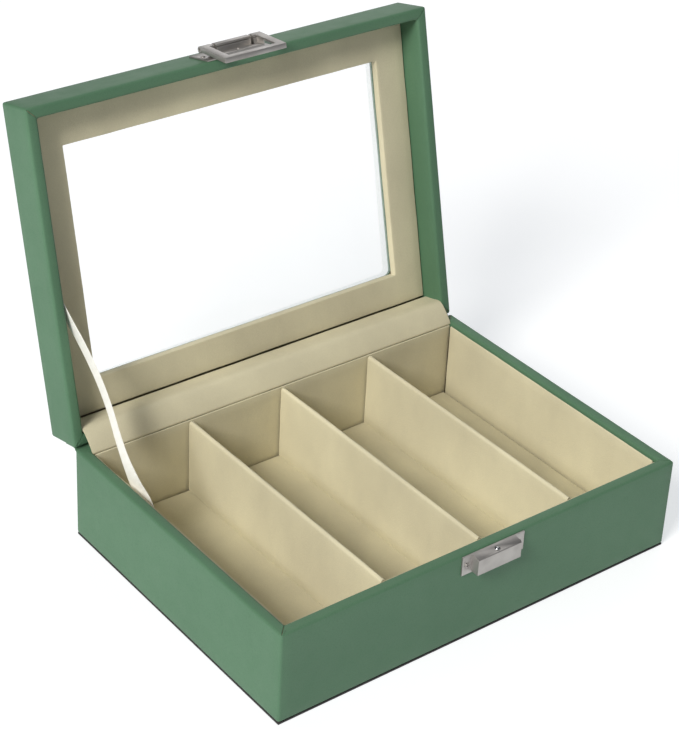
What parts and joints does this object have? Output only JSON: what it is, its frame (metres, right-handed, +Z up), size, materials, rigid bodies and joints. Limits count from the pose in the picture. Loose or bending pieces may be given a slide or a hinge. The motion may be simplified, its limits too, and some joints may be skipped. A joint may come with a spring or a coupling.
{
  "type": "multi glasses organizer",
  "caption": "Hinged sage-green leather-covered case with a glass window in the lid, cream velvet compartments for glasses, and a nickel hasp with a sprung catch.",
  "frame": {"origin": "middle of the underside of the base, on the surface that it stands on", "axes": "+X along the hinge, -Y the front with the catch, +Z up; at rest the lid stands open"},
  "size_m": [0.26, 0.2584, 0.2438],
  "materials": {
    "sage_leather": "fine-grained matte sage-green faux leather",
    "cream_velvet": "short cream velvet over board",
    "satin_ribbon": "cream satin ribbon",
    "case_board": "plain fibreboard, hidden",
    "bottom_paper": "black backing card",
    "clear_glass": "clear, polished",
    "nickel": "satin nickel plate",
    "steel": "bright steel"
  },
  "bodies": {
    "base": {"base_back_board": "case_board", "base_back_lining": "cream_velvet", "base_bottom_sheet": "bottom_paper", "base_floor_board": "case_board", "base_floor_pad": "cream_velvet", "base_front_board": "case_board", "base_front_lining": "cream_velvet", "base_leather": "sage_leather", "base_left_board": "case_board", "base_left_lining": "cream_velvet", "base_right_board": "case_board", "base_right_lining": "cream_velvet", "catch_body": "nickel", "catch_screws": "nickel", "catch_spring": "steel", "divider_left": "cream_velvet", "divider_middle": "cream_velvet", "divider_right": "cream_velvet", "hinge_base_screws": "steel", "hinge_left_base_leaf": "steel", "hinge_left_pin": "steel", "hinge_right_base_leaf": "steel", "hinge_right_pin": "steel", "hinge_spine": "sage_leather", "hinge_velvet": "cream_velvet", "ribbon_stay": "satin_ribbon"},
    "lid": {"hasp_pin": "steel", "hasp_plate": "nickel", "hasp_screws": "nickel", "hinge_left_lid_leaf": "steel", "hinge_lid_screws": "steel", "hinge_right_lid_leaf": "steel", "lid_back_board": "case_board", "lid_back_lining": "cream_velvet", "lid_back_rail": "case_board", "lid_front_board": "case_board", "lid_front_rail": "case_board", "lid_glass": "clear_glass", "lid_leather": "sage_leather", "lid_left_board": "case_board", "lid_left_rail": "case_board", "lid_right_board": "case_board", "lid_right_rail": "case_board", "window_back_strip": "cream_velvet", "window_front_strip": "cream_velvet", "window_left_strip": "cream_velvet", "window_right_strip": "cream_velvet"},
    "hasp": {"hasp_loop": "nickel"},
    "ball": {"catch_ball": "steel"}
  },
  "joints": [
    {"name": "lid_hinge", "type": "hinge", "parent": "base", "child": "lid", "pos_m": [0, 0.093, 0.05525], "axis": [1, 0, 0], "range_deg": [0, 103], "deforming": ["hinge_velvet", "hinge_spine", "ribbon_stay"]},
    {"name": "hasp_hinge", "type": "hinge", "parent": "lid", "child": "hasp", "pos_m": [0.0015, 0.14448, 0.2398], "axis": [-1, 0, 0], "range_deg": [0, 100]},
    {"name": "ball_catch", "type": "slide", "parent": "base", "child": "ball", "axis": [0, 0.247, -0.969], "range_m": [0, 0.0006], "stiffness_N_per_m": 500, "deforming": ["catch_spring"]}
  ]
}
